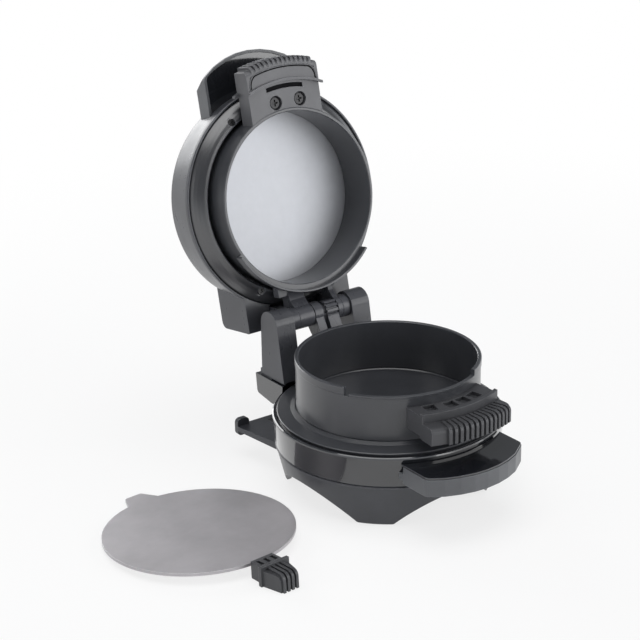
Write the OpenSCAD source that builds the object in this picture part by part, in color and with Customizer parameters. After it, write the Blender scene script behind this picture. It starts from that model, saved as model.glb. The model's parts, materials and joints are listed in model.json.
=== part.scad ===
// Breakfast sandwich maker, standing open, with its loose cooking plate beside it.
// Millimetres. Z is up, the handles face -Y and the hinge runs along X at the rear.
// The origin is on the table, under the middle of the two rings.
// Lid and top ring are drawn closed, then swung open about the hinge pin.

/* [Base] */
// Radius of the lower casing at its foot line
foot_r = 60; // [59:0.5:61]
// Radius of the casing at the seam between skirt and body
seam_r = 66.3; // [65.8:0.1:66.8]
// Height of the seam between skirt and body
seam_z = 27; // [26:0.5:28]
// Height of the body's rim
rim_z = 45.6; // [45.2:0.1:46]
// Half the width of an arch between two feet, at the table
arch_half_w = 35; // [33:0.5:36]
// Height of an arch between two feet
arch_h = 17.5; // [15:0.5:17.5]
// Thickness of the casing walls
wall = 2.6; // [2.2:0.1:3]

/* [Rings] */
// Outer radius of both cooking rings
ring_r = 53.8; // [53.4:0.1:54]
// Wall thickness of both rings
ring_wall = 2; // [1.6:0.1:2.4]
// Height of the front rim of the bottom ring
low_rim_z = 76.3; // [75.8:0.1:76.6]
// Height of the raised lip round the rear of the bottom ring
lip_z = 79.8; // [79.2:0.1:80]
// Height of the free rim of the top ring, closed
high_rim_z = 81.8; // [81.6:0.1:82.2]

/* [Hinge] */
// Distance of the hinge axis behind the middle of the rings
hinge_y = 71; // [70.8:0.1:71.4]
// Height of the hinge axis
hinge_z = 84; // [83.6:0.1:84.4]
// Opening angle in which the maker stands
open_angle = 102.8; // [95:0.2:103]
// Radius of the hinge pin
pin_r = 2.5; // [2.3:0.05:2.6]
// Outer radius of the hinge knuckles
knuckle_r = 7; // [6.4:0.1:7.2]

/* [Lid] */
// Radius of the lid at its rim
lid_r = 67.3; // [66.8:0.1:67.8]
// Radius of the lid at its back
lid_back_r = 64.4; // [63.6:0.1:65]
// Height of the lid's rim plane, closed
lid_rim_z = 100.6; // [100.4:0.1:101]
// Height of the edge of the lid's back, closed
lid_back_z = 126.8; // [126:0.2:128]

/* [Handles] */
// Half the width of the lid handle and the base handle
handle_half_w = 36; // [34:0.5:38]
// Reach of the base handle from the middle
base_handle_reach = 92.5; // [91:0.5:94]
// Reach of the lid handle from the middle
lid_handle_reach = 90; // [89:0.5:92]
// Number of ribs on each ring handle
rib_count = 14; // [10:1:16]

/* [Cooking plate] */
// Radius of the loose cooking plate
plate_r = 54.4; // [53.4:0.2:54.8]
// Thickness of the loose cooking plate
plate_t = 1.8; // [1.5:0.1:2]
// Middle of the plate on the table, left of the maker
plate_x = -129; // [-132:0.2:-126]
// Middle of the plate on the table, along the depth
plate_y = 6.4; // [2:0.1:10]
// Turn of the plate seen from above
plate_turn = 4.6; // [0:0.2:8]

/* [Hidden] */
$fn = 96;

// Base: heights and radii worked out from the driving dimensions
ground_gap = 0.5;
arch_r = (arch_half_w * arch_half_w + arch_h * arch_h) / (2 * arch_h);
rim_r = seam_r + 1.7;
ledge_z = rim_z - 1.6;
plate_core_r = 58;
plate_under_z = ledge_z - 4;
flange_z = rim_z + 1.5;
deck_z = rim_z + 4;
face_z = deck_z - 0.9;
cover_z = arch_h + 0.6;
cover_t = 1.2;
boss_at = 37.4;
boss_r = 5.4;
foot_pad_r = 4;
block_half_w = 36;
block_rear_y = 84.4;
block_top_z = 49.6;
gland_z = 26.5;
gland_r = 4.4;

// Hinge: how the leaves share the pin, as distances along X
stand_in_x = 21.5;
stand_out_x = 34.5;
stand_hollow = [8, 13, 22.4];
stand_screw_x = 14;
stand_screw_y = 76;
pin_half = 30.5;
pin_play = 0.08;
seat_play = 0.05;
lid_arm_x = [16.2, 21.2];
top_arm_left = [-15.9, -5.3];
top_arm_right = [12.7, 15.9];
low_ring_left = [-4.6, 1.0];
lug_x = [4, 12];
low_arm_x = [-4.6, 12];
lip_from = -63;
lip_to = 205;
skirt_from = 44;
skirt_to = 152;

// Rings
ring_in = ring_r - ring_wall;
lip_r = ring_r + 0.4;
skirt_in = lip_r + 1.0;
skirt_r = skirt_in + 1.4;
skirt_z = high_rim_z - 3.8;
ring_top_z = lid_rim_z + 7.8;
lid_face_z = ring_top_z + 0.4;

// Bottom-ring handle
low_grip_z0 = 56.3;
low_grip_z1 = 66.8;
low_ridge_z = 71.4;
low_mount_z0 = 58;
low_mount_z1 = 69.9;
low_grip_r = 81;
low_ridge_r = 69.5;
low_mount_r = 67.9;
low_plan = [[-23.6, -40], [-28.6, -84], [30, -84], [27.8, -40]];
low_rib_pitch = 2.5;
low_rib_mid = 273.4;
low_screw_a = [260.7, 279.3];
low_screw_z = low_mount_z0 + 4;
pocket_mid = [[-14.5, -56.5], [-2.2, -59.6], [6.8, -59.4], [16, -57.8]];
pocket_size = [7.2, 7.4];

// Top-ring handle, closed
top_grip_z0 = 81.5;
top_grip_z1 = 95;
top_mount_z0 = 82.2;
top_mount_z1 = 93;
top_grip_r = 84.5;
top_ridge_r = 71.6;
top_ridge_z = 80;
top_screw_x = [-7, 10.4];
top_screw_y = -58;
top_rib_pitch = 2.26;
top_half_w = 25.3;
rib_share = 0.52;
rib_depth = 1.9;

// Lid
lid_wall = 2.4;
housing_half_w = 38.5;
housing_rear_y = 77;
bezel_out = 65.6;
bezel_in = 56.4;
bezel_screw_r = 59.4;
bezel_screw_a = [238.5, 301.5, 61, 119];
back_fillet = 3.6;
lid_plate_t = 2.5;
lid_grip_z0 = 110.5;
lid_grip_z1 = 120.6;
lid_grip_mid = [-2.5, -37];
lid_grip_r0 = 54;
lid_grip_r1 = 48;

// Cooking plate
plate_tilt = 3;
tab_len = 9.5;
plate_lift = (plate_r + tab_len) * sin(plate_tilt);
bracket_half_w = 7.3;
bracket_y = [-55.6, -65.4];
flange_half_w = 9.8;
plate_grip_y = [-67.2, -80.4];
plate_rib_pitch = 2.9;
rivet_x = 2.3;
neck_half_w = 5.6;

// Shared functions: points on an arc, and an outline with rounded corners
function polar(r, a) = [r * cos(a), r * sin(a)];
function arc(c, r, a0, a1, n) = [for (i = [0:n]) c + polar(r, a0 + (a1 - a0) * i / n)];
function corner(p0, p1, p2, r, n) =
  let(u = (p0 - p1) / norm(p0 - p1))
  let(v = (p2 - p1) / norm(p2 - p1))
  let(half = acos(u * v) / 2)
  let(c = p1 + (u + v) / norm(u + v) * (r / sin(half)))
  let(a = p1 + u * (r / tan(half)) - c)
  let(b = p1 + v * (r / tan(half)) - c)
  let(a0 = atan2(a.y, a.x))
  let(turn = ((atan2(b.y, b.x) - a0 + 540) % 360) - 180)
  [for (i = [0:n]) c + polar(r, a0 + turn * i / n)];
function rounded(pts, radii, n = 5) =
  let(k = len(pts))
  [for (i = [0:k - 1]) each (
    radii[i] > 0 ? corner(pts[(i + k - 1) % k], pts[i], pts[(i + 1) % k], radii[i], n) : [pts[i]]
  )];

// A wedge of the plan, used to keep one part of a round piece
module wedge(r, a0, a1) {
  polygon(concat([[0, 0]], arc([0, 0], r, a0, a1, 16)));
}

// A round band between two radii and two heights, over a span of angles
module band(r0, r1, z0, z1, a0, a1) {
  translate([0, 0, z0])
    linear_extrude(z1 - z0)
      intersection() {
        difference() {
          circle(r1);
          circle(r0);
        }
        wedge(r1 * 1.6, a0, a1);
      }
}

// A profile of radius and height swept over a span of angles
module sweep(pts, a0, a1) {
  rotate([0, 0, a0])
    rotate_extrude(angle = a1 - a0)
      polygon(pts);
}

// A rod along X between two places, through the given point of depth and height
module rod_x(r, x0, x1, y, z) {
  translate([x0, y, z])
    rotate([0, 90, 0])
      cylinder(r = r, h = x1 - x0);
}

// A side outline of depth and height, given thickness along X
module slab_x(pts, x0, x1) {
  translate([x0, 0, 0])
    rotate([90, 0, 90])
      linear_extrude(x1 - x0)
        polygon(pts);
}

// Swings a closed piece to the opening angle
module opened() {
  translate([0, hinge_y, hinge_z])
    rotate([-open_angle, 0, 0])
      translate([0, -hinge_y, -hinge_z])
        children();
}

// Lays a plate piece down where the plate lies on the table
module laid_down() {
  translate([plate_x, plate_y, 0])
    rotate([0, 0, plate_turn])
      translate([0, 0, plate_lift])
        rotate([-plate_tilt, 0, 0])
          children();
}

// A cross-head screw with its shank, head up at the origin
module screw(head_r, head_h, shank_r, shank_h) {
  difference() {
    union() {
      cylinder(r = head_r, h = head_h, $fn = 32);
      translate([0, 0, -shank_h])
        cylinder(r = shank_r, h = shank_h, $fn = 24);
    }
    for (a = [0, 90])
      rotate([0, 0, a])
        translate([-head_r * 0.62, -head_r * 0.14, head_h * 0.45])
          cube([head_r * 1.24, head_r * 0.28, head_h]);
  }
}

// Base body: glossy wall with a ledge for the plate, and the block that carries the hinge
module base_body() {
  block_side = rounded(
    [[56, block_top_z], [58, 36], [67.6, 34.8], [83, 37.3], [block_rear_y, block_top_z]],
    [0, 0, 0, 2.4, 0]
  );
  color("#15161a")
    difference() {
      union() {
        rotate_extrude()
          polygon([
            [seam_r - wall, seam_z], [seam_r - 0.5, seam_z], [seam_r, seam_z + 0.5],
            [rim_r - 0.1, rim_z - 1.2], [rim_r - 0.3, rim_z - 0.4], [rim_r - 0.9, rim_z],
            [rim_r - 2.2, rim_z], [rim_r - 2.6, rim_z - 0.4], [rim_r - 2.6, ledge_z],
            [rim_r - 7.4, ledge_z], [rim_r - 7.4, ledge_z - 2], [rim_r - wall - 0.9, ledge_z - 5]
          ]);
        difference() {
          slab_x(block_side, -block_half_w, block_half_w);
          translate([0, 0, seam_z])
            cylinder(r = rim_r - 1.3, h = deck_z);
        }
      }
      for (sx = [-1, 1])
        translate([sx * 26 - 7.4, rim_r + 0.4, 38.6])
          cube([14.8, block_rear_y - rim_r - wall - 0.8, 20]);
      for (sx = [-1, 1])
        translate([sx * stand_screw_x, stand_screw_y, block_top_z - 8])
          cylinder(r = 1.45, h = 10, $fn = 24);
      translate([-14, 58, 38.6])
        cube([28, 14, ledge_z - 2 - 38.6 - 1]);
      gland_hole();
    }
}

// The round hole that the cord gland fills, cut in body and skirt
module gland_hole() {
  translate([0, seam_r - 6, gland_z])
    rotate([-90, 0, 0])
      cylinder(r = gland_r, h = 12, $fn = 48);
}

// Two crossing tunnels that leave four feet
module arch_tunnels() {
  for (a = [0, 90])
    rotate([0, 0, a])
      translate([-90, 0, arch_h - arch_r])
        rotate([0, 90, 0])
          cylinder(r = arch_r, h = 180, $fn = 128);
}

// Base skirt: tapering wall with four feet, and a boss inside each foot
module base_skirt() {
  foot_inner = foot_r - wall;
  color("#4b4d52")
    difference() {
      union() {
        difference() {
          rotate_extrude()
            polygon([
              [foot_inner, ground_gap], [foot_r - 0.4, ground_gap], [foot_r, ground_gap + 0.5],
              [seam_r - 0.2, seam_z - 1.1], [seam_r + 0.3, seam_z - 0.8], [seam_r + 0.3, seam_z - 0.3],
              [seam_r - 0.3, seam_z], [seam_r - wall, seam_z]
            ]);
          arch_tunnels();
        }
        intersection() {
          difference() {
            translate([0, 0, 2])
              cylinder(r1 = foot_inner + 0.5, r2 = foot_inner + 0.9, h = 2);
            arch_tunnels();
          }
          union() {
            for (sx = [-1, 1])
              for (sy = [-1, 1])
                translate([sx * 44, sy * 44, 3])
                  cube([26, 26, 4], center = true);
          }
        }
        for (sx = [-1, 1])
          for (sy = [-1, 1])
            translate([sx * boss_at, sy * boss_at, 2])
              cylinder(r = boss_r, h = cover_z - 2, $fn = 40);
      }
      for (sx = [-1, 1])
        for (sy = [-1, 1])
          translate([sx * boss_at, sy * boss_at, 0]) {
            cylinder(r = 2.05, h = 7, $fn = 32);
            translate([0, 0, cover_z - 8])
              cylinder(r = 1.4, h = 10, $fn = 24);
          }
      gland_hole();
    }
}

// Bottom cover: a vented disc on the bosses
module base_bottom_cover() {
  color("#3c3e43")
    difference() {
      translate([0, 0, cover_z])
        cylinder(r = foot_r + 0.6, h = cover_t);
      for (i = [-4:4])
        translate([i * 6 - 1.2, -18, cover_z - 1])
          cube([2.4, 36, cover_t + 2]);
      for (sx = [-1, 1])
        for (sy = [-1, 1])
          translate([sx * boss_at, sy * boss_at, cover_z - 1])
            cylinder(r = 1.8, h = cover_t + 2, $fn = 24);
    }
}

// Rubber feet: four pads with a peg each
module rubber_feet() {
  color("#1d1d1f")
    for (sx = [-1, 1])
      for (sy = [-1, 1])
        translate([sx * boss_at, sy * boss_at, 0]) {
          cylinder(r = foot_pad_r, h = 2, $fn = 40);
          translate([0, 0, 2])
            cylinder(r = 2, h = 4, $fn = 32);
        }
}

// Radius of the casing's outer wall at a height between seam and rim
function casing_r(z) = seam_r + (rim_r - 0.1 - seam_r) * (z - seam_z - 0.5) / (rim_z - 1.7 - seam_z);

// Plan outline of a D-shaped handle, from its root line to its curved front
function handle_outline(half_w, root_y, reach, mid_x, inset) =
  rounded(
    concat(
      [[mid_x - half_w + inset, root_y], [mid_x - half_w + inset, -reach + 12]],
      [for (i = [-3:3]) [mid_x - 2 + i * 8.5, -reach + inset + i * i * 0.68]],
      [[mid_x + half_w - inset, -reach + 15], [mid_x + half_w - inset, root_y]]
    ),
    [0, 3.4, 3.4, 0, 0, 0, 0, 0, 3.4, 3.4, 0],
    3
  );

// Base handle: open tray with a light wall
module base_handle() {
  outline = handle_outline(handle_half_w, -50, base_handle_reach, -0.5, 0);
  inner = handle_outline(handle_half_w, -40, base_handle_reach, -0.5, wall);
  color("#8d8f94")
    difference() {
      translate([0, 0, 31])
        linear_extrude(10)
          polygon(outline);
      translate([0, 0, 30])
        linear_extrude(9)
          difference() {
            polygon(inner);
            circle(rim_r + 2.3);
          }
      difference() {
        translate([0, 0, 30])
          cylinder(r = rim_r + 2.4, h = 12);
        translate([-60, -120, 33])
          cube([120, 120, 4]);
      }
      translate([0, 0, 29])
        cylinder(r1 = casing_r(29), r2 = casing_r(43), h = 14);
    }
}

// Glossy cover over the base handle
module base_handle_cover() {
  outline = handle_outline(handle_half_w, -50, base_handle_reach, -0.5, 0.5);
  color("#101114")
    translate([0, 0, 41])
      linear_extrude(1.2)
        difference() {
          polygon(outline);
          circle(rim_r + 0.5);
        }
}

// Base heating plate: cast disc with a stepped rim that the bottom ring stands on
module base_heating_plate() {
  color("#3a3b3e")
    rotate_extrude()
      polygon([
        [0, plate_under_z], [plate_core_r, plate_under_z], [plate_core_r, ledge_z],
        [rim_r - 3.8, ledge_z], [rim_r - 3.8, flange_z - 1], [rim_r - 3.2, flange_z - 0.9],
        [rim_r - 2.9, flange_z - 0.6], [rim_r - 2.9, flange_z - 0.2], [rim_r - 3.2, flange_z],
        [ring_r + 3.4, deck_z - 1.2], [ring_r + 0.8, deck_z], [ring_in + 0.6, deck_z],
        [ring_in - 0.6, face_z], [0, face_z]
      ]);
}

// A tubular heater loop with two upright ends
module heater_loop(r, z, tail) {
  rotate([0, 0, 285])
    rotate_extrude(angle = 330)
      translate([r, z])
        circle(r = 2.1, $fn = 24);
  for (a = [285, 255])
    rotate([0, 0, a])
      translate([r, 0, z - (tail > 0 ? 0 : -tail)])
        cylinder(r = 1.3, h = abs(tail), $fn = 20);
}

// Base heating element, clamped under the plate
module base_heating_element() {
  color("#8c8478")
    heater_loop(38, plate_under_z - 2.1, -9);
}

// Thermostat at the middle under the plate
module base_thermostat() {
  color("#b9b4a6")
    union() {
      translate([0, 0, plate_under_z - 4.5])
        cylinder(r = 9, h = 4.5, $fn = 48);
      translate([0, 0, plate_under_z - 8.5])
        cylinder(r = 6.5, h = 4, $fn = 48);
      for (sx = [-1, 1])
        translate([sx * 4 - 1.6, -0.4, plate_under_z - 12.5])
          cube([3.2, 0.8, 4]);
    }
}

// Thermal fuse, a small can on a clip
module thermal_fuse() {
  color("#c9c6bd")
    union() {
      rod_x(1.7, -6, 6, 20, plate_under_z - 1.9);
      rod_x(0.5, -13, -6, 20, plate_under_z - 1.9);
      rod_x(0.5, 6, 13, 20, plate_under_z - 1.9);
    }
}

// Heat shield: shallow dish between heater and cover, on three posts
module base_heat_shield() {
  shield_z = 28;
  color("#a8a9ab")
    difference() {
      union() {
        rotate_extrude()
          polygon([
            [0, shield_z], [52, shield_z], [57, shield_z + 5], [56.2, shield_z + 5.4],
            [51.6, shield_z + 0.8], [0, shield_z + 0.8]
          ]);
        for (a = [30, 150, 270])
          rotate([0, 0, a])
            translate([46, 0, cover_z + cover_t])
              cylinder(r = 3, h = shield_z - cover_z - cover_t + 0.4, $fn = 32);
      }
      for (a = [255, 285])
        rotate([0, 0, a])
          translate([38, 0, shield_z - 1])
            cylinder(r = 3.4, h = 4, $fn = 32);
      translate([0, 0, shield_z - 1])
        cylinder(r = 7, h = 4, $fn = 32);
    }
}

// Terminal block on the cover, where wires meet
module terminal_block() {
  color("#d8d4c4")
    difference() {
      translate([-13, 22, cover_z + cover_t])
        cube([26, 12, 7]);
      for (i = [-1:1])
        translate([i * 8, 28, cover_z + cover_t + 3])
          cylinder(r = 2, h = 10, $fn = 24);
      for (i = [-1:1])
        translate([i * 8, 20, cover_z + cover_t + 2.6])
          rotate([-90, 0, 0])
            cylinder(r = 1.5, h = 16, $fn = 24);
    }
}

// Inner wires from the gland to the terminal block
module inner_wires() {
  wire_z = cover_z + cover_t + 2.6;
  color("#b5372c")
    for (i = [-1:1])
      translate([i * 8, 30, wire_z])
        rotate([-90, 0, 0])
          cylinder(r = 1.1, h = 22, $fn = 20);
}

// Cord gland: a bush held in the seam, with an empty bore
module cord_gland() {
  color("#1b1c1f")
    translate([0, seam_r - 4, gland_z])
      rotate([-90, 0, 0])
        difference() {
          union() {
            cylinder(r = gland_r, h = 9, $fn = 48);
            translate([0, 0, 4.6])
              cylinder(r = gland_r + 1.2, h = 1.6, $fn = 48);
          }
          translate([0, 0, -1])
            cylinder(r = 2.8, h = 12, $fn = 40);
        }
}

// Rear shelf with a horn at each end, for winding a cord
module cord_horns() {
  plan = rounded(
    [[-47, 40], [-53.5, 79], [-53.5, 82], [53.5, 82], [53.5, 79], [47, 40]],
    [0, 0.8, 0.8, 0.8, 0.8, 0]
  );
  pad = rounded([[-53.5, 13.8], [-45.1, 13.8], [-45.1, 24.6], [-53.5, 24.6]], [2.6, 2.6, 2.6, 2.6]);
  color("#6e7076")
    union() {
      difference() {
        intersection() {
          translate([0, 0, 10])
            linear_extrude(10)
              polygon(plan);
          translate([0, 95, 0])
            rotate([90, 0, 0])
              linear_extrude(60)
                polygon([[-54.5, 17.4], [-42, 14], [42, 14], [54.5, 17.4], [54.5, 20], [-54.5, 20]]);
        }
        translate([0, 0, ground_gap + 0.5])
          cylinder(r1 = foot_r, r2 = seam_r - 0.2, h = seam_z - 1.1 - ground_gap - 0.5);
        translate([-33, 54, 9])
          cube([66, 23, 16]);
      }
      for (side = [0, 1])
        mirror([side, 0, 0])
          translate([0, 82.6, 0])
            rotate([90, 0, 0])
              linear_extrude(3.2)
                polygon(pad);
    }
}

// Hinge stand: two uprights on one foot plate, bored for the pin
module hinge_stand() {
  rear = 79.5;
  upright = concat(
    [[56.5, block_top_z + 0.6], [rear, block_top_z + 0.6]],
    arc([hinge_y, hinge_z], rear - hinge_y, 0, 168, 14)
  );
  color("#55575c")
    difference() {
      union() {
        slab_x(upright, -stand_out_x, -stand_in_x);
        slab_x(upright, stand_in_x, stand_out_x);
        translate([-stand_out_x, 69.4, block_top_z])
          cube([2 * stand_out_x, 11.6, 4]);
      }
      for (sx = [-1, 1])
        translate([sx * stand_screw_x, stand_screw_y, block_top_z - 2])
          cylinder(r = 1.5, h = 10, $fn = 24);
      rod_x(pin_r + seat_play, -pin_half - 0.2, pin_half + 0.2, hinge_y, hinge_z);
      for (sx = [-1, 1])
        translate([sx * (stand_in_x + stand_out_x) / 2 - stand_hollow.x / 2, 63.5, block_top_z - 1])
          cube(stand_hollow);
      translate([0, 0, 30])
        cylinder(r = rim_r - 2.4, h = deck_z - 30 + 1.4);
    }
}

// Hinge pin through every leaf
module hinge_pin() {
  color("#c4c6c9")
    rod_x(pin_r, -pin_half, pin_half, hinge_y, hinge_z, $fn = 64);
}

// Screws that hold the cover and the hinge stand
module base_screws() {
  color("#9a9ca0")
    union() {
      for (sx = [-1, 1])
        for (sy = [-1, 1])
          translate([sx * boss_at, sy * boss_at, cover_z + cover_t])
            screw(3, 1.6, 1.3, 7);
      for (sx = [-1, 1])
        translate([sx * stand_screw_x, stand_screw_y, block_top_z + 4])
          screw(3, 1.8, 1.4, 5.4);
    }
}

// Bottom ring: full height round the rear, cut down to a low rim in front
module bottom_ring() {
  foot_z = deck_z + 0.2;
  color("#4a4b4f")
    difference() {
      rotate_extrude()
        polygon([
          [ring_in, foot_z], [ring_r, foot_z], [ring_r, low_rim_z - 1.2], [lip_r, low_rim_z - 0.8],
          [lip_r, lip_z - 0.4], [lip_r - 0.4, lip_z], [ring_in + 0.4, lip_z], [ring_in, lip_z - 0.4]
        ]);
      translate([0, 0, low_rim_z])
        linear_extrude(10)
          wedge(90, lip_to, 360 + lip_from);
      translate([0, 0, low_rim_z - 1.6])
        linear_extrude(10)
          wedge(90, lip_to, lip_to + 3.4);
    }
}

// The ribbed lug and knuckles that carry the bottom ring on the pin
module bottom_ring_bracket() {
  arm = [
    [ring_r - 2.4, 60], [62, 63.4], [76, 79.4], [71, 84], [64.4, 84], [60, 76.2], [ring_r - 2.4, 75]
  ];
  color("#35363a")
    difference() {
      union() {
        slab_x(arm, low_arm_x[0], low_arm_x[1]);
        rod_x(knuckle_r, low_ring_left[0], low_ring_left[1], hinge_y, hinge_z);
        rod_x(knuckle_r - 0.9, lug_x[0], lug_x[1], hinge_y, hinge_z);
        rod_x(knuckle_r - 2.2, low_ring_left[1] - 1, lug_x[0] + 1, hinge_y, hinge_z);
        for (i = [0:8])
          translate([lug_x[0], hinge_y, hinge_z])
            rotate([116 + i * 24, 0, 0])
              translate([0, knuckle_r - 2.6, -0.8])
                cube([lug_x[1] - lug_x[0], 2.9, 1.6]);
      }
      rod_x(pin_r + pin_play, low_arm_x[0] - 1, low_arm_x[1] + 1, hinge_y, hinge_z);
      translate([low_ring_left[1], 50, 74.6])
        cube([lug_x[0] - low_ring_left[1], 15.4, 20]);
      translate([0, 0, 50])
        cylinder(r = ring_r, h = 40);
    }
}

// A ribbed grip that follows the ring, from profile points of radius and height
module ribbed_grip(r_out, z0, z1, r_in, a_mid, pitch, round_top) {
  body_r = r_out - rib_depth;
  lo = round_top ? 0.5 : 2.6;
  hi = round_top ? 2.6 : 0.5;
  first = a_mid - (rib_count - 1) * pitch / 2;
  base_profile = rounded([[r_in, z0], [body_r, z0], [body_r, z1 - 0.8], [r_in, z1 - 0.8]], [0, lo, hi, 0], 3);
  rib_profile = rounded([[r_in + 2, z0], [r_out, z0], [r_out, z1], [r_in + 2, z1]], [0, lo, hi + 0.6, 0], 3);
  sweep(base_profile, 235, 305);
  for (i = [0:rib_count - 1])
    sweep(rib_profile, first + (i - rib_share / 2) * pitch, first + (i + rib_share / 2) * pitch);
}

// Bottom-ring handle: mount with pockets, curved flange, ribbed grip
module bottom_ring_handle() {
  color("#4c4e53")
    difference() {
      intersection() {
        union() {
          band(ring_r, low_mount_r, low_mount_z0, low_mount_z1, 235, 305);
          band(low_mount_r - 0.8, low_ridge_r, low_grip_z0 + 0.6, low_ridge_z, 235, 305);
          ribbed_grip(low_grip_r, low_grip_z0, low_grip_z1, low_ridge_r - 0.8,
                      low_rib_mid, low_rib_pitch, true);
        }
        translate([0, 0, low_grip_z0 - 5])
          linear_extrude(30)
            polygon(low_plan);
      }
      for (c = pocket_mid)
        translate([c.x, c.y, low_mount_z1 - 2.2])
          rotate([0, 0, atan(-c.x / c.y)])
            translate([-pocket_size.x / 2, -pocket_size.y / 2, 0])
              cube([pocket_size.x, pocket_size.y, 10]);
      band(ring_r + 2.4, low_mount_r - 2.2, low_mount_z0 - 1, low_mount_z1 - 4.6, 248, 292);
      for (a = low_screw_a)
        rotate([0, 0, a])
          translate([ring_r - 0.5, 0, low_screw_z])
            rotate([0, 90, 0])
              cylinder(r = 1.6, h = 3.4, $fn = 24);
    }
}

// Screws that hold the bottom-ring handle to the ring
module bottom_ring_screws() {
  color("#9a9ca0")
    for (a = low_screw_a)
      rotate([0, 0, a])
        translate([ring_r + 2.4, 0, low_screw_z])
          rotate([0, 90, 0])
            screw(2.8, 1.8, 1.5, 2.2);
}

// Top ring, closed position, with the hanging skirt round the hinge side
module top_ring() {
  color("#4a4b4f")
    opened()
      union() {
        rotate_extrude()
          polygon([
            [ring_in + 0.4, high_rim_z], [ring_r - 0.4, high_rim_z], [ring_r, high_rim_z + 0.4],
            [ring_r, ring_top_z], [ring_in, ring_top_z], [ring_in, high_rim_z + 0.4]
          ]);
        sweep([
          [ring_r - 0.6, high_rim_z], [skirt_in, high_rim_z], [skirt_in, skirt_z + 0.3],
          [skirt_in + 0.3, skirt_z], [skirt_r - 0.3, skirt_z], [skirt_r, skirt_z + 0.3],
          [skirt_r, high_rim_z + 1.2], [ring_r - 0.6, high_rim_z + 3]
        ], skirt_from, skirt_to);
      }
}

// Two arms that carry the top ring on the pin
module top_ring_bracket() {
  arm = [
    [ring_r - 2.4, 88.6], [60, 85.4], [64.4, 82], [71, 84], [77.6, 87], [73, 94.2], [66, 93.4],
    [ring_r - 2.4, 93.2]
  ];
  color("#2f3034")
    opened()
      difference() {
        union() {
          for (span = [top_arm_left, top_arm_right]) {
            slab_x(arm, span[0], span[1]);
            rod_x(knuckle_r, span[0], span[1], hinge_y, hinge_z);
          }
          translate([-22, ring_r - 3, 87.6])
            cube([44, 6.4, 5.6]);
        }
        rod_x(pin_r + pin_play, -20, 20, hinge_y, hinge_z);
        translate([0, 0, 70])
          cylinder(r = ring_r, h = 40);
      }
}

// Top-ring handle, closed: mount with slot and counterbores, ridge with two ears, ribbed grip
module top_ring_handle() {
  panel_out = top_grip_r - 5.6;
  color("#6a6c72")
    opened()
      difference() {
        union() {
          intersection() {
            union() {
              band(ring_r, top_ridge_r - 1, top_mount_z0, top_mount_z1, 235, 305);
              ribbed_grip(top_grip_r, top_grip_z0, top_grip_z1, top_ridge_r - 0.4, 270, top_rib_pitch, false);
            }
            translate([-top_half_w, -90, 0])
              cube([2 * top_half_w, 60, 120]);
          }
          intersection() {
            band(top_ridge_r - 1.4, top_ridge_r, top_ridge_z, top_mount_z1 + 2, 225, 315);
            union() {
              translate([-top_half_w, -90, 0])
                cube([2 * top_half_w, 60, 120]);
              translate([-top_half_w - 3.2, -90, top_mount_z1 - 1])
                cube([top_half_w, 60, 20]);
              translate([1.9, -90, 0])
                cube([top_half_w, 60, top_ridge_z + 2]);
            }
          }
        }
        for (x = top_screw_x)
          translate([x, top_screw_y, top_mount_z0 - 1]) {
            cylinder(r = 4.3, h = 4.4, $fn = 40);
            cylinder(r = 1.8, h = 20, $fn = 24);
          }
        intersection() {
          band(66, 68.6, top_mount_z0 - 1, top_mount_z0 + 3, 225, 315);
          translate([-12.5, -90, 0])
            cube([26.1, 60, 120]);
        }
        band(panel_out - 0.7, panel_out, top_grip_z0 - 1, top_grip_z0 + 0.6, 253, 287);
      }
}

// Cross-head screws in the counterbores of the top-ring handle
module top_ring_screws() {
  color("#26272a")
    opened()
      for (x = top_screw_x)
        translate([x, top_screw_y, top_mount_z0 + 3.4])
          rotate([180, 0, 0])
            screw(3.2, 2.2, 1.6, 6);
}

// Lid shell, closed: shallow domed cup with the rear housing
module lid_shell() {
  housing = rounded(
    [[52, lid_rim_z], [housing_rear_y, lid_rim_z], [housing_rear_y - 2, 130], [48, 130]],
    [0, 1, 4.4, 0]
  );
  cavity = rounded([[50, 96], [74.4, 96], [73, 127.4], [50, 127.4]], [0, 0, 3, 0]);
  color("#2a2b2f")
    opened()
      difference() {
        union() {
          rotate_extrude()
            polygon(concat(
              [[0, lid_back_z + 1.8]],
              [[0, lid_back_z + 4.2], [30, lid_back_z + 3.4], [52, lid_back_z + 1.4]],
              arc([lid_back_r - back_fillet, lid_back_z - back_fillet], back_fillet, 76, 6, 5),
              [[lid_r, lid_rim_z + 2.4], [lid_r, lid_rim_z + 0.4], [lid_r - 0.4, lid_rim_z]],
              [[lid_r - 1.1, lid_rim_z], [lid_r - 1.5, lid_rim_z + 0.5]],
              [[lid_r - 1.6, lid_rim_z + 3.2], [lid_back_r - lid_wall, lid_back_z - 5.4]],
              [[lid_back_r - 5.4, lid_back_z - 1.9]],
              [[30, lid_back_z + 1]]
            ));
          difference() {
            slab_x(housing, -housing_half_w, housing_half_w);
            translate([0, 0, 90])
              cylinder(r1 = lid_r + 0.6, r2 = lid_back_r - 2, h = 39);
          }
        }
        intersection() {
          slab_x(cavity, -housing_half_w + lid_wall, housing_half_w - lid_wall);
          difference() {
            translate([-60, 40, 103])
              cube([120, 60, 40]);
            cylinder(r = lid_r - 0.2, h = 140);
          }
        }
        translate([-lid_arm_x[1] - 0.6, 62.8, 99])
          cube([2 * lid_arm_x[1] + 1.2, 11.6, 22]);
        lens_holes();
      }
}

// Two round holes in the lid's back for the lamps
module lens_holes() {
  for (x = [-9, 9])
    translate([x, -30, lid_back_z - 4])
      cylinder(r = 3.05, h = 12, $fn = 40);
}

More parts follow.
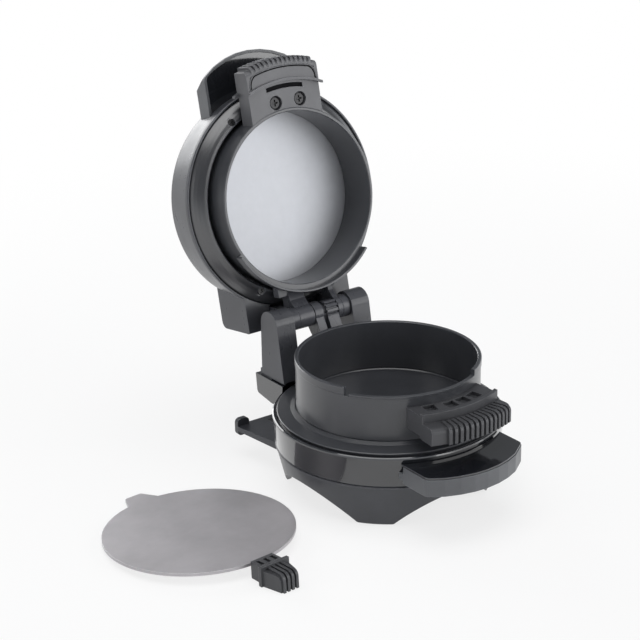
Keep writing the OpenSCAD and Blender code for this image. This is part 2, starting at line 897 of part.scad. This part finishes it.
// Lid bezel, closed: glossy convex frame between rim and ring
module lid_bezel() {
  z = lid_rim_z;
  color("#121317")
    opened()
      difference() {
        union() {
          rotate_extrude()
            polygon([
              [bezel_out, z + 3], [bezel_out - 0.1, z + 0.9], [64.9, z + 0.1], [63.9, z - 1.2],
              [62.4, z - 2.9], [60.6, z - 4.4], [58.8, z - 5.4], [57.4, z - 5.8], [56.8, z - 5.6],
              [bezel_in, z - 5], [bezel_in, z + 10], [bezel_in + 1.6, z + 10],
              [bezel_in + 1.8, z - 3.2], [60.6, z - 2.4], [62.6, z - 0.6], [63.8, z + 3]
            ]);
          for (a = bezel_screw_a)
            rotate([0, 0, a])
              translate([bezel_screw_r, 0, z - 3.4])
                cylinder(r = 2.8, h = 6, $fn = 32);
        }
        for (a = bezel_screw_a)
          rotate([0, 0, a])
            translate([bezel_screw_r, 0, z - 8]) {
              cylinder(r = 2.3, h = 4, $fn = 32);
              cylinder(r = 1.05, h = 16, $fn = 24);
            }
      }
}

// Lid heating plate, closed: the face that closes the top ring
module lid_heating_plate() {
  color("#b9bdc4")
    opened()
      rotate_extrude()
        polygon([
          [0, lid_face_z], [bezel_in - 0.5, lid_face_z], [bezel_in - 0.1, lid_face_z + 0.4],
          [bezel_in - 0.1, lid_face_z + lid_plate_t], [0, lid_face_z + lid_plate_t]
        ]);
}

// Lid heating element on the back of its plate
module lid_heating_element() {
  color("#8c8478")
    opened()
      heater_loop(38, lid_face_z + lid_plate_t + 2.1, 7);
}

// Lid thermostat at the middle of its plate
module lid_thermostat() {
  color("#b9b4a6")
    opened()
      union() {
        translate([0, 0, lid_face_z + lid_plate_t])
          cylinder(r = 9, h = 4, $fn = 48);
        translate([0, 0, lid_face_z + lid_plate_t + 4])
          cylinder(r = 6.5, h = 2.6, $fn = 48);
      }
}

// Heat shield between the lid's heater and its back
module lid_heat_shield() {
  z = lid_face_z + 13.4;
  color("#a8a9ab")
    opened()
      rotate_extrude()
        polygon([[0, z], [50, z], [55, z - 6], [55.8, z - 5.6], [50.4, z + 0.8], [0, z + 0.8]]);
}

// Space inside the lid's tapering outer wall
module lid_inside() {
  side_z = lid_back_z - back_fillet * (1 - sin(6));
  side_r = lid_back_r - back_fillet * (1 - cos(6));
  translate([0, 0, lid_rim_z + 2.4])
    cylinder(r1 = lid_r, r2 = side_r, h = side_z - lid_rim_z - 2.4);
}

// The lid handle's tapering front, drawn in by a distance
module lid_handle_draft(inset) {
  translate([lid_grip_mid.x, lid_grip_mid.y, lid_grip_z0])
    cylinder(r1 = lid_grip_r0 - inset, r2 = lid_grip_r1 - inset, h = lid_grip_z1 - lid_grip_z0);
}

// Lid handle, closed: tray with a light wall, open underneath
module lid_handle() {
  color("#7c7e83")
    opened()
      difference() {
        intersection() {
          translate([0, 0, lid_grip_z0])
            linear_extrude(lid_grip_z1 - lid_grip_z0)
              polygon(handle_outline(handle_half_w, -50, lid_handle_reach, -0.5, 0));
          lid_handle_draft(0);
        }
        intersection() {
          translate([0, 0, lid_grip_z0 - 1])
            linear_extrude(lid_grip_z1 - lid_grip_z0 - 0.8)
              polygon(handle_outline(handle_half_w, -40, lid_handle_reach, -0.5, 1.8));
          translate([0, 0, -0.01])
            lid_handle_draft(1.8);
        }
        lid_inside();
      }
}

// Glossy underside of the lid handle
module lid_handle_cover() {
  color("#101114")
    opened()
      difference() {
        intersection() {
          translate([0, 0, lid_grip_z0 + 0.7])
            linear_extrude(1.6)
              polygon(handle_outline(handle_half_w, -50, lid_handle_reach, -0.5, 1.85));
          lid_handle_draft(1.85);
        }
        lid_inside();
      }
}

// Two arms that carry the lid on the pin
module lid_hinge_arms() {
  arm = [[64.6, 86], [71, 80], [77.4, 86], [74.2, 97], [74.2, 112], [64.2, 112], [64.2, 97]];
  color("#232428")
    opened()
      difference() {
        union() {
          for (side = [0, 1])
            mirror([side, 0, 0]) {
              slab_x(arm, lid_arm_x[0], lid_arm_x[1]);
              rod_x(knuckle_r, lid_arm_x[0], lid_arm_x[1], hinge_y, hinge_z);
            }
          translate([-lid_arm_x[1], 65, 108])
            cube([2 * lid_arm_x[1], 8, 4]);
        }
        rod_x(pin_r + pin_play, -30, 30, hinge_y, hinge_z);
      }
}

// Cross-head screws of the lid bezel
module lid_screws() {
  color("#2c2d30")
    opened()
      for (a = bezel_screw_a)
        rotate([0, 0, a])
          translate([bezel_screw_r, 0, lid_rim_z - 4])
            rotate([180, 0, 0])
              screw(2.2, 1.2, 1, 4);
}

// A lamp lens in the lid's back
module lamp_lens(x) {
  translate([x, -30, lid_back_z - 0.6])
    union() {
      cylinder(r = 3, h = 4.6, $fn = 40);
      translate([0, 0, 4.6])
        cylinder(r1 = 2.8, r2 = 2, h = 0.7, $fn = 40);
    }
}

module power_lens() {
  color("#a52a1e")
    opened()
      lamp_lens(-9);
}

module ready_lens() {
  color("#2f8a4a")
    opened()
      lamp_lens(9);
}

// Loose cooking plate: disc with a tapering tab at the rear
module cooking_plate() {
  tab = rounded(
    [[-13, plate_r - 6], [-5.5, plate_r + tab_len], [5.5, plate_r + tab_len], [13, plate_r - 6]],
    [0, 2, 2, 0]
  );
  color("#8d8c90")
    laid_down()
      difference() {
        union() {
          cylinder(r = plate_r, h = plate_t, $fn = 128);
          linear_extrude(plate_t)
            polygon(tab);
          translate([-neck_half_w, -plate_r - 8, 0])
            cube([2 * neck_half_w, 12, plate_t]);
        }
        for (x = [-rivet_x, rivet_x])
          translate([x, -plate_r - 5, -1])
            cylinder(r = 1.15, h = 5, $fn = 24);
      }
}

// Side outline of the plate grip: depth and height, with a round top front edge
function plate_grip_side(step) =
  rounded(
    [
      [plate_grip_y[0] + 1, -12], [plate_grip_y[1] + step, -12], [plate_grip_y[1] + step, 3 - step],
      [plate_grip_y[0] + 1, 3.4 - step]
    ],
    [0, 0, 3.6, 0]
  );

// Plate handle: slotted bracket, flange and ribbed grip, cut flat where it lies on the table
module plate_handle() {
  plan = [
    [-flange_half_w + 1, plate_grip_y[0] + 1], [-5.4, plate_grip_y[1] - 1],
    [5.4, plate_grip_y[1] - 1], [flange_half_w - 1, plate_grip_y[0] + 1]
  ];
  color("#3a3c40")
    intersection() {
      laid_down()
        difference() {
          union() {
            translate([-bracket_half_w, bracket_y[1], -12])
              cube([2 * bracket_half_w, bracket_y[0] - bracket_y[1], 15.6]);
            translate([-flange_half_w, plate_grip_y[0], -12])
              cube([2 * flange_half_w, bracket_y[1] - plate_grip_y[0] + 0.4, 16.3]);
            intersection() {
              union() {
                slab_x(plate_grip_side(1.3), -flange_half_w, flange_half_w);
                for (i = [-1.5:1.5])
                  slab_x(plate_grip_side(0), i * plate_rib_pitch - 0.8, i * plate_rib_pitch + 0.8);
              }
              translate([0, 0, -14])
                linear_extrude(30)
                  polygon(plan);
            }
          }
          for (x = [-4.6, 0, 4.6])
            translate([x - 1.1, bracket_y[1] + 2.2, 2.2])
              cube([2.2, 5.4, 3]);
          translate([-neck_half_w - 0.05, -plate_r - 8.05, -0.04])
            cube([2 * neck_half_w + 0.1, 12, plate_t + 0.08]);
          for (x = [-rivet_x, rivet_x])
            translate([x, -plate_r - 5, -14])
              cylinder(r = 1.15, h = 14.5, $fn = 24);
        }
      translate([plate_x - 100, plate_y - 200, 0])
        cube([200, 300, 60]);
    }
}

// Rivets that hold the plate to its handle
module plate_rivets() {
  color("#a9aaad")
    laid_down()
      for (x = [-rivet_x, rivet_x])
        translate([x, -plate_r - 5, -4.6])
          cylinder(r = 1.1, h = plate_t + 4.6, $fn = 24);
}

base_body();
base_skirt();
base_bottom_cover();
rubber_feet();
base_handle();
base_handle_cover();
base_heating_plate();
base_heating_element();
base_thermostat();
thermal_fuse();
base_heat_shield();
terminal_block();
inner_wires();
cord_gland();
cord_horns();
hinge_stand();
hinge_pin();
base_screws();
bottom_ring();
bottom_ring_bracket();
bottom_ring_handle();
bottom_ring_screws();
top_ring();
top_ring_bracket();
top_ring_handle();
top_ring_screws();
lid_shell();
lid_bezel();
lid_heating_plate();
lid_heating_element();
lid_thermostat();
lid_heat_shield();
lid_handle();
lid_handle_cover();
lid_hinge_arms();
lid_screws();
power_lens();
ready_lens();
cooking_plate();
plate_handle();
plate_rivets();
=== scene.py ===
import json
import math

import bmesh
import bpy
from mathutils import Matrix, Vector


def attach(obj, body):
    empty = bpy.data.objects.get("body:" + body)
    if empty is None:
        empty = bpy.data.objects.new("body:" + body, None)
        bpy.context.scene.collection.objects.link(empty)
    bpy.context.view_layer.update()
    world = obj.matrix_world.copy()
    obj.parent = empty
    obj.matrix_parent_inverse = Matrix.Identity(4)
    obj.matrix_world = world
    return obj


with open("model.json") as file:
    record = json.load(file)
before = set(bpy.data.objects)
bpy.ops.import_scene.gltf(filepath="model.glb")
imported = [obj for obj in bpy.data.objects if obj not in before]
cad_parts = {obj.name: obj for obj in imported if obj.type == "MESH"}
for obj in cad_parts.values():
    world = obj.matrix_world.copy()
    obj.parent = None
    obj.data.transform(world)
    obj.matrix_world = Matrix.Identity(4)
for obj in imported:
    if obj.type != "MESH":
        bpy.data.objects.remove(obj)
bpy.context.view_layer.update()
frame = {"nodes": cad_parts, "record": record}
NODES = frame["nodes"]
MM = 0.001

# Camera fitted to the photograph: place and axes in metres, lens and sensor in millimetres
CAM_AT = (-0.62353, -0.79907, 0.50078)
CAM_RIGHT = (0.80784, -0.58921, -0.01514)
CAM_UP = (0.22738, 0.28785, 0.93029)
CAM_BACK = (-0.54378, -0.75497, 0.36652)
CAM_LENS = 106.62
CAM_SENSOR = 36.0
CAM_CLIP = (0.05, 20.0)

# The hinge axis, and the angle at which the lid and the top ring stand open
HINGE_AT = Vector((0, 71, 84)) * MM
OPEN_ANGLE = -102.8
OPEN_TURN = (
    Matrix.Translation(HINGE_AT)
    @ Matrix.Rotation(math.radians(OPEN_ANGLE), 4, "X")
    @ Matrix.Translation(-HINGE_AT)
)

# Ranges that remap reads and writes: the middle of a noise, the same narrower, and a full mask
WIDE = (0.3, 0.7)
NARROW = (0.35, 0.65)
UNIT = (0.0, 1.0)

# Rounding that the bevel node shows on edges, in millimetres
MOULDED_EDGE = 0.45
COATED_EDGE = 0.35
STEEL_EDGE = 0.2
SHADE_SAMPLES = 4

# A free edge turns its normal by more than FREE_TURN and has open space within FREE_REACH mm
FREE_TURN = 0.12
FREE_REACH = 1.6
FREE_OPEN = (0.6, 0.95)

# Noise size that turns a grain size in millimetres into a scale
GRAIN_SCALE = 1000.0

# Gains on the base colour: dust and flecks, painted highlights on free edges, stains
DUST_GAIN = 2.2
FLECK_GAIN = 2.2
GLOSSY_HIGHLIGHT_GAIN = 9.0
COATED_HIGHLIGHT_GAIN = 3.4
STAIN_GAIN = 0.74
HIGHLIGHT_SHARE = 0.8

# What wear does to roughness: handling marks, polished edges, dust, brushing
SCUFF_LOW, SCUFF_HIGH = 0.9, 1.12
EDGE_POLISH = 0.16
DUST_ROUGHNESS = 0.12
COAT_LOW, COAT_HIGH = 0.92, 1.1
BRUSH_LOW, BRUSH_HIGH = 0.7, 1.35

# Trim of the top ring handle, drawn with the lid closed, in millimetres: a dark strip of painted
# shade behind the slot, a rim bead, and a dark line of painted shade round the panel
SLOT_RADII = (66.05, 68.55)
SLOT_HEIGHTS = (83.0, 85.1)
SLOT_ACROSS = (-12.45, 13.55)
SLOT_STEPS = 24
PANEL_HALF_W = 23.6
PANEL_LOW_R = 72.2
PANEL_HIGH_R = 79.1
PANEL_CORNER = 4.6
PANEL_Z = 81.5
CORNER_STEPS = 8
PANEL_STEPS = 40
BEAD_SIDES = 8
RIM_INSET, RIM_RADIUS = 0.0, 0.42
LINE_INSET, LINE_RADIUS = 0.75, 0.34

# The floor shows shadows near the object and is plain white further out
FLOOR_RADIUS = 6.0
FLOOR_Z = -0.0002
FLOOR_SIDES = 96
FLOOR_PAINT = (0.93, 0.93, 0.93)
SHADOW_REACH = (0.25, 0.75)
GLOW_SHARE = (0.76, 1.0)

# The room that lights the object: bright at the horizon, dim above it
WHITE = (1.0, 1.0, 1.0)
ROOM_TINT = (0.93, 0.96, 1.0)
ROOM_RISE = (0.02, 0.26)
ROOM_STRENGTH = (1.0, 0.2)

# Lamps: name, place, aim, width and height in metres, power in watts
LAMPS = (
    ("top_light", (-0.2, -0.1, 1.9), (0, 0, 0.08), (1.6, 1.6), 19),
    ("rear_light", (-0.05, 1.75, 0.62), (0, 0, 0.12), (1.3, 0.8), 12),
    ("right_light", (1.0, -1.5, 0.55), (0, 0, 0.1), (2.0, 1.5), 24),
    ("left_light", (-1.7, 0.35, 0.6), (0, 0, 0.12), (0.9, 0.9), 6),
)


def put_in_scene(obj):
    bpy.context.scene.collection.objects.link(obj)
    return obj


def mesh_object(name, bm):
    """Turn a finished bmesh into an object of the scene."""
    mesh = bpy.data.meshes.new(name)
    bm.to_mesh(mesh)
    bm.free()
    return put_in_scene(bpy.data.objects.new(name, mesh))


def scaled(color, k):
    return tuple(min(1.0, c * k) for c in color)


def set_camera():
    data = bpy.data.cameras.new("view_camera")
    data.sensor_width = CAM_SENSOR
    data.sensor_fit = "HORIZONTAL"
    data.lens = CAM_LENS
    data.clip_start, data.clip_end = CAM_CLIP
    cam = put_in_scene(bpy.data.objects.new("view_camera", data))
    turn = Matrix((CAM_RIGHT, CAM_UP, CAM_BACK)).transposed()
    cam.matrix_world = Matrix.Translation(CAM_AT) @ turn.to_4x4()
    bpy.context.scene.camera = cam
    bpy.context.scene.view_settings.view_transform = "Standard"


class Graph:
    """Short names for building one node tree."""

    def __init__(self, tree):
        self.tree = tree
        tree.nodes.clear()
        self.coords = self.add("TexCoord", {}).outputs

    def feed(self, socket, value):
        """Give a socket a constant, or link the output that feeds it."""
        if isinstance(value, bpy.types.NodeSocket):
            self.tree.links.new(value, socket)
        elif isinstance(value, tuple) and socket.type == "RGBA":
            socket.default_value = value + (1.0,)
        else:
            socket.default_value = value

    def add(self, kind, sockets, **props):
        node = self.tree.nodes.new("ShaderNode" + kind)
        for name, value in props.items():
            setattr(node, name, value)
        for key, value in sockets.items():
            self.feed(node.inputs[key], value)
        return node

    def noise(self, scale, detail=2.0, rough=0.5, stretch=None):
        at = self.coords["Object"]
        if stretch:
            at = self.add("Mapping", {"Vector": at, "Scale": stretch}).outputs["Vector"]
        sockets = {"Vector": at, "Scale": scale, "Detail": detail, "Roughness": rough}
        return self.add("TexNoise", sockets).outputs["Fac"]

    def remap(self, value, source, target, smooth=False):
        sockets = {
            "Value": value,
            "From Min": source[0], "From Max": source[1],
            "To Min": target[0], "To Max": target[1],
        }
        kind = "SMOOTHSTEP" if smooth else "LINEAR"
        return self.add("MapRange", sockets, interpolation_type=kind).outputs["Result"]

    def math(self, operation, a, b, clamp=False):
        return self.add("Math", {0: a, 1: b}, operation=operation, use_clamp=clamp).outputs[0]

    def mix(self, share, a, b):
        return self.add("Mix", {0: share, 6: a, 7: b}, data_type="RGBA").outputs[2]

    def mix_shader(self, share, a, b):
        return self.add("MixShader", {0: share, 1: a, 2: b}).outputs[0]

    def bevel(self, radius_mm):
        node = self.add("Bevel", {"Radius": radius_mm * MM}, samples=SHADE_SAMPLES)
        return node.outputs["Normal"]

    def bump(self, height, distance_mm, strength, normal=None):
        sockets = {"Height": height, "Distance": distance_mm * MM, "Strength": strength}
        if normal:
            sockets["Normal"] = normal
        return self.add("Bump", sockets).outputs["Normal"]

    def free_edge(self, bevel_normal):
        """1 on edges that stand free, 0 on open faces and in corners."""
        face = self.add("NewGeometry", {}).outputs["Normal"]
        dot = self.add("VectorMath", {0: bevel_normal, 1: face}, operation="DOT_PRODUCT")
        turned = self.remap(dot.outputs["Value"], (1.0, 1.0 - FREE_TURN), UNIT, smooth=True)
        space = self.add("AmbientOcclusion", {"Distance": FREE_REACH * MM}, samples=SHADE_SAMPLES)
        return self.math("MULTIPLY", turned, self.remap(space.outputs["AO"], FREE_OPEN, UNIT))


class Surface(Graph):
    """A material made of one shader."""

    def __init__(self, name):
        self.mat = bpy.data.materials.new(name)
        self.mat.use_nodes = True
        super().__init__(self.mat.node_tree)

    def finish(self, **sockets):
        """Feed the shader; each name is a socket's name with _ for the spaces."""
        named = {key.replace("_", " "): value for key, value in sockets.items()}
        shader = self.add("BsdfPrincipled", named)
        self.add("OutputMaterial", {"Surface": shader.outputs["BSDF"]})
        return self.mat


def moulded(name, color, rough, grain=0.3, grain_mm=0.35, vary=0.14, edge_gain=3.2, **more):
    """Moulded plastic: cloudy tone, fine grain, painted highlights on free edges, faint handling
    marks.
    """
    g = Surface(name)
    cloud = g.noise(scale=38.0, detail=4.0, rough=0.55)
    fine = g.noise(scale=GRAIN_SCALE / grain_mm, detail=2.0, rough=0.6)
    scuff = g.noise(scale=160.0, detail=5.0, rough=0.62, stretch=(1.0, 1.0, 0.35))
    soft = g.bevel(MOULDED_EDGE)
    edge = g.free_edge(soft)
    tone = g.mix(g.remap(cloud, WIDE, UNIT), scaled(color, 1 - vary), scaled(color, 1 + vary))
    # Free edges get a lighter base colour here: a painted highlight
    edge_highlight = g.math("MULTIPLY", edge, g.remap(scuff, NARROW, (0.35, 1.0)))
    polish = g.math("MULTIPLY", edge, rough * EDGE_POLISH)
    handled = g.remap(scuff, NARROW, (rough * SCUFF_LOW, rough * SCUFF_HIGH))
    return g.finish(
        Base_Color=g.mix(edge_highlight, tone, scaled(color, edge_gain)),
        Roughness=g.math("SUBTRACT", handled, polish, clamp=True),
        Normal=g.bump(fine, 0.02, grain, soft),
        **more,
    )


def glossy(name, color, rough, edge_mm=0.5, wave=0.06, wiped=0.25, **more):
    """Polished plastic: faint flow waves, fine dust specks, hairline wipe marks and painted
    highlights on free edges.
    """
    g = Surface(name)
    wavy = g.noise(scale=26.0, detail=1.5, rough=0.45)
    wipe = g.noise(scale=900.0, detail=3.0, rough=0.6, stretch=(0.12, 0.12, 1.0))
    dust = g.noise(scale=2600.0, detail=1.0, rough=0.5)
    soft = g.bevel(edge_mm)
    speck = g.remap(dust, (0.70, 0.78), UNIT)
    dusted = g.mix(speck, color, scaled(color, DUST_GAIN))
    # Free edges get a much lighter base colour: a painted highlight
    painted_highlight = g.math("MULTIPLY", g.free_edge(soft), HIGHLIGHT_SHARE)
    wiping = g.remap(wipe, WIDE, (rough * (1 - wiped), rough * (1 + wiped)))
    return g.finish(
        Base_Color=g.mix(painted_highlight, dusted, scaled(color, GLOSSY_HIGHLIGHT_GAIN)),
        Roughness=g.math("ADD", wiping, g.math("MULTIPLY", speck, DUST_ROUGHNESS), clamp=True),
        Normal=g.bump(wavy, 0.5, wave, soft),
        **more,
    )


def coated(name, color, rough, metal=0.0, speck=0.25, **more):
    """Non-stick coating: orange-peel bump, fine pale speckle, painted highlights on the rims."""
    g = Surface(name)
    peel = g.noise(scale=1500.0, detail=2.0, rough=0.5)
    cloud = g.noise(scale=30.0, detail=4.0, rough=0.6)
    flake = g.add("TexVoronoi", {"Vector": g.coords["Object"], "Scale": 1900.0})
    soft = g.bevel(COATED_EDGE)
    tone = g.mix(g.remap(cloud, WIDE, UNIT), scaled(color, 0.88), scaled(color, 1.12))
    spark = g.remap(flake.outputs["Distance"], (0.10, 0.22), (speck, 0.0))
    flecked = g.mix(spark, tone, scaled(color, FLECK_GAIN))
    # Free edges get a lighter base colour: a painted highlight
    painted_highlight = g.math("MULTIPLY", g.free_edge(soft), HIGHLIGHT_SHARE)
    return g.finish(
        Base_Color=g.mix(painted_highlight, flecked, scaled(color, COATED_HIGHLIGHT_GAIN)),
        Roughness=g.remap(cloud, WIDE, (rough * COAT_LOW, rough * COAT_HIGH)),
        Normal=g.bump(peel, 0.03, 0.3, soft),
        Metallic=metal,
        **more,
    )


def steel(name, color, rough, metal=1.0):
    """Drawn or plated metal with fine brushing and stain."""
    g = Surface(name)
    brush = g.noise(scale=90.0, detail=5.0, rough=0.6, stretch=(30.0, 1.0, 30.0))
    stain = g.noise(scale=120.0, detail=4.0, rough=0.6)
    return g.finish(
        Base_Color=g.mix(g.remap(stain, (0.35, 0.7), UNIT), color, scaled(color, STAIN_GAIN)),
        Roughness=g.remap(brush, WIDE, (rough * BRUSH_LOW, rough * BRUSH_HIGH)),
        Normal=g.bump(brush, 0.02, 0.25, g.bevel(STEEL_EDGE)),
        Metallic=metal,
    )


def lens(name, color):
    """Small coloured lamp cap with a ridged inside."""
    g = Surface(name)
    ridge = g.noise(scale=700.0)
    return g.finish(
        Base_Color=g.mix(g.remap(ridge, WIDE, UNIT), scaled(color, 0.8), color),
        Roughness=g.remap(ridge, WIDE, (0.08, 0.16)),
        Normal=g.bump(ridge, 0.05, 0.3),
        Coat_Weight=0.5,
    )


# Each material: its maker, base colour, roughness and what differs from the maker's defaults
LOOKS = {
    "casing_gloss": (glossy, (0.012, 0.013, 0.016), 0.12,
                     dict(Coat_Weight=1.0, Coat_Roughness=0.06, Coat_IOR=1.6)),
    "casing_satin": (moulded, (0.043, 0.045, 0.052), 0.32, {}),
    "grip_satin": (moulded, (0.052, 0.053, 0.058), 0.40, dict(grain=0.4)),
    "handle_light": (moulded, (0.10, 0.104, 0.112), 0.36, {}),
    "nonstick": (coated, (0.042, 0.044, 0.050), 0.34,
                 dict(Coat_Weight=0.5, Coat_Roughness=0.22)),
    "lid_plate": (coated, (0.501, 0.512, 0.540), 0.54, dict(metal=0.7, speck=0.08)),
    "loose_plate": (coated, (0.45, 0.433, 0.45), 0.42, dict(metal=0.65, speck=0.08)),
    "hinge_dark": (moulded, (0.068, 0.070, 0.080), 0.28, {}),
    "pin_steel": (steel, (0.55, 0.56, 0.58), 0.22, {}),
    "screw_dark": (steel, (0.012, 0.012, 0.014), 0.30, dict(metal=0.2)),
    "screw_bright": (steel, (0.55, 0.56, 0.58), 0.26, {}),
    "rubber_black": (moulded, (0.018, 0.018, 0.019), 0.72, dict(grain=0.5)),
    "heater_steel": (steel, (0.30, 0.28, 0.25), 0.38, {}),
    "shield_metal": (steel, (0.60, 0.60, 0.61), 0.30, {}),
    "shield_steel": (steel, (0.52, 0.52, 0.53), 0.34, {}),
    "cover_metal": (moulded, (0.030, 0.031, 0.034), 0.46, dict(grain=0.25, grain_mm=0.2)),
    "ceramic": (moulded, (0.62, 0.59, 0.52), 0.55, dict(vary=0.06, edge_gain=1.1)),
    "wire_red": (moulded, (0.42, 0.05, 0.04), 0.45, {}),
    "bezel_soft": (glossy, (0.024, 0.025, 0.029), 0.30,
                   dict(edge_mm=1.6, wave=0.0, wiped=0.05,
                        Coat_Weight=1.0, Coat_Roughness=0.28, Coat_IOR=1.7)),
    # Lighter copies of the satin casing and grip plastic: painted light
    "shell_light": (moulded, (0.058, 0.060, 0.068), 0.30, {}),
    "grip_light": (moulded, (0.088, 0.089, 0.096), 0.36, dict(grain=0.4)),
    # Near-black and hardly shiny: painted shade for the inside of the slot and the groove round
    # the panel
    "recess_dark": (moulded, (0.006, 0.006, 0.007), 0.8,
                    dict(edge_gain=1.2, Specular_IOR_Level=0.1)),
}
MATERIALS = {
    name: maker(name, color, rough, **more)
    for name, (maker, color, rough, more) in LOOKS.items()
}
MATERIALS["lens_red"] = lens("lens_red", (0.5, 0.03, 0.02))
MATERIALS["lens_green"] = lens("lens_green", (0.03, 0.4, 0.1))

# Nodes whose finish differs a little from the rest of their slot; shell_light and grip_light are
# lighter copies of satin plastic, painted light on parts that catch more of it
OWN_FINISH = {
    "lid_bezel": "bezel_soft",
    "lid_shell": "shell_light",
    "hinge_stand": "shell_light",
    "top_ring_handle": "grip_light",
}


def dress_nodes():
    """Give every CAD node the material of its slot, or its own finish."""
    for sub in frame["record"]["subparts"]:
        finish = OWN_FINISH.get(sub["node"], sub["material_slot"])
        materials = NODES[sub["node"]].data.materials
        materials.clear()
        materials.append(MATERIALS[finish])


def trim_piece(name, rings, finish, smooth=False):
    """A closed piece through rings of points in metres, opened up with the top ring."""
    bm = bmesh.new()
    loops = [[bm.verts.new(point) for point in ring] for ring in rings]
    for a, b in zip(loops, loops[1:]):
        for k in range(len(a)):
            n = (k + 1) % len(a)
            bm.faces.new((a[k], a[n], b[n], b[k]))
    bm.faces.new(loops[0])
    bm.faces.new(reversed(loops[-1]))
    bmesh.ops.recalc_face_normals(bm, faces=bm.faces)
    for face in bm.faces:
        face.smooth = smooth
    bm.transform(OPEN_TURN)
    piece = mesh_object(name, bm)
    piece.data.materials.append(MATERIALS[finish])
    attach(piece, "top_ring_leaf")


def front_y(x, r):
    """Depth of a point at x on the front of a cylinder of radius r, both in millimetres."""
    return -math.sqrt(r * r - x * x)


def slot_rings():
    """Sections of the near-black strip that closes the slot of the top ring handle from behind:
    painted shade for the open slot.
    """
    (r0, r1), (z0, z1), (x0, x1) = SLOT_RADII, SLOT_HEIGHTS, SLOT_ACROSS
    corners = ((r0, z0), (r1, z0), (r1, z1), (r0, z1))
    rings = []
    for i in range(SLOT_STEPS + 1):
        x = x0 + (x1 - x0) * i / SLOT_STEPS
        rings.append([(x * MM, front_y(x, r) * MM, z * MM) for r, z in corners])
    return rings


def panel_path(inset):
    """Outline of the smooth panel under the top grip, from end to end."""
    half, high = PANEL_HALF_W - inset, PANEL_HIGH_R - inset
    bend_x, bend_r = half - PANEL_CORNER, high - PANEL_CORNER
    path = [(-half, PANEL_LOW_R), (-half, bend_r)]
    for side, start in ((-1, 180), (1, 90)):
        for i in range(1, CORNER_STEPS):
            a = math.radians(start - 90 * i / CORNER_STEPS)
            x = side * bend_x + PANEL_CORNER * math.cos(a)
            path.append((x, bend_r + PANEL_CORNER * math.sin(a)))
        if side < 0:
            for i in range(PANEL_STEPS + 1):
                path.append((-bend_x + 2 * bend_x * i / PANEL_STEPS, high))
    path += [(half, bend_r), (half, PANEL_LOW_R)]
    return [Vector((x, front_y(x, r), 0)) for x, r in path]


def bead_rings(path, radius):
    """Sections of a thin bead along a path at the height of the panel."""
    rings = []
    for i, point in enumerate(path):
        along = path[min(i + 1, len(path) - 1)] - path[max(i - 1, 0)]
        along.normalize()
        side = Vector((-along.y, along.x, 0))
        ring = []
        for k in range(BEAD_SIDES):
            a = 2 * math.pi * k / BEAD_SIDES
            rise = Vector((0, 0, PANEL_Z + radius * math.sin(a)))
            ring.append((point + side * (radius * math.cos(a)) + rise) * MM)
        rings.append(ring)
    return rings


def floor_material():
    """White to the camera and to mirrors, with the object's shadow mixed in near it."""
    g = Surface("floor_white")
    path = g.add("LightPath", {}).outputs
    reach = g.add("VectorMath", {0: g.coords["Object"]}, operation="LENGTH").outputs["Value"]
    share = g.remap(reach, SHADOW_REACH, GLOW_SHARE, smooth=True)
    seen = g.math("MAXIMUM", path["Is Camera Ray"], path["Is Glossy Ray"])
    seen = g.math("MAXIMUM", seen, path["Is Transmission Ray"])
    matte = g.add("BsdfDiffuse", {"Color": FLOOR_PAINT}).outputs[0]
    glow = g.add("Emission", {"Color": WHITE, "Strength": 1.0}).outputs[0]
    mixed = g.mix_shader(g.math("MULTIPLY", seen, share), matte, glow)
    g.add("OutputMaterial", {"Surface": mixed})
    return g.mat


def set_floor():
    bm = bmesh.new()
    bmesh.ops.create_circle(bm, cap_ends=True, segments=FLOOR_SIDES, radius=FLOOR_RADIUS)
    floor = mesh_object("floor", bm)
    floor.location = (0, 0, FLOOR_Z)
    floor.data.materials.append(floor_material())


def set_world():
    """White to the camera; a quiet studio to everything else."""
    world = bpy.data.worlds.new("studio")
    bpy.context.scene.world = world
    world.use_nodes = True
    g = Graph(world.node_tree)
    height = g.add("SeparateXYZ", {0: g.coords["Generated"]}).outputs["Z"]
    strength = g.remap(height, ROOM_RISE, ROOM_STRENGTH, smooth=True)
    room = g.add("Background", {"Color": ROOM_TINT, "Strength": strength}).outputs[0]
    backdrop = g.add("Background", {"Color": WHITE}).outputs[0]
    to_camera = g.add("LightPath", {}).outputs["Is Camera Ray"]
    g.add("OutputWorld", {"Surface": g.mix_shader(to_camera, room, backdrop)})


def set_lamps():
    for name, at, aim, (width, height), power in LAMPS:
        data = bpy.data.lights.new(name, "AREA")
        data.shape = "RECTANGLE"
        data.size = width
        data.size_y = height
        data.energy = power
        lamp = put_in_scene(bpy.data.objects.new(name, data))
        lamp.location = at
        lamp.rotation_euler = (Vector(aim) - Vector(at)).to_track_quat("-Z", "Y").to_euler()


set_camera()
dress_nodes()
# Dark strip behind the slot: painted shade
trim_piece("top_slot_painted_shade", slot_rings(), "recess_dark")
rim = bead_rings(panel_path(RIM_INSET), RIM_RADIUS)
trim_piece("top_panel_rim", rim, "grip_light", smooth=True)
# Dark line round the panel: painted shade of the groove
line = bead_rings(panel_path(LINE_INSET), LINE_RADIUS)
trim_piece("top_panel_shade_line", line, "recess_dark", smooth=True)
set_floor()
set_world()
set_lamps()
